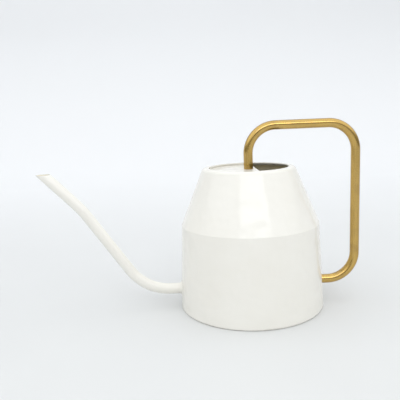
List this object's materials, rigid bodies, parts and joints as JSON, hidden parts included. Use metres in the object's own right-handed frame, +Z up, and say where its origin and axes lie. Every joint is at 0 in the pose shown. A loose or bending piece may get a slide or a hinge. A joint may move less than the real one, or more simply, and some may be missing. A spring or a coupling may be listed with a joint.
{
  "type": "watering can",
  "caption": "Small indoor watering can: flared drum, conical shoulder, half-closed top, long bent level-cut spout and a bent tube handle screwed on from inside.",
  "frame": {"origin": "centre of the flat standing ring under the can, on the can's own axis", "axes": "+Z up; +X towards the handle's post, -X towards the spout; the handle and the spout lie in the plane Y = 0"},
  "size_m": [0.2815, 0.1266, 0.1623],
  "materials": {
    "powder_coated_steel": "warm ivory powder coat, semi-gloss",
    "brass_tube": "lacquered, satin",
    "brass_plug": "turned",
    "tin_solder": "dull, as run",
    "zinc_steel": "bright zinc plate",
    "seal_rubber": "matt"
  },
  "bodies": {
    "root": {"drum_wall": "powder_coated_steel", "base_plate": "powder_coated_steel", "shoulder_cone": "powder_coated_steel", "cover_plate": "powder_coated_steel", "spout_tube": "powder_coated_steel", "spout_root_braze": "powder_coated_steel", "base_seam_solder": "tin_solder", "shoulder_seam_solder": "tin_solder", "cover_seam_solder": "tin_solder", "handle_tube": "brass_tube", "upper_handle_plug": "brass_plug", "lower_handle_plug": "brass_plug", "upper_washer": "zinc_steel", "upper_lock_washer": "zinc_steel", "upper_screw": "zinc_steel", "lower_washer": "zinc_steel", "lower_screw": "zinc_steel", "lower_seal": "seal_rubber"}
  },
  "joints": []
}
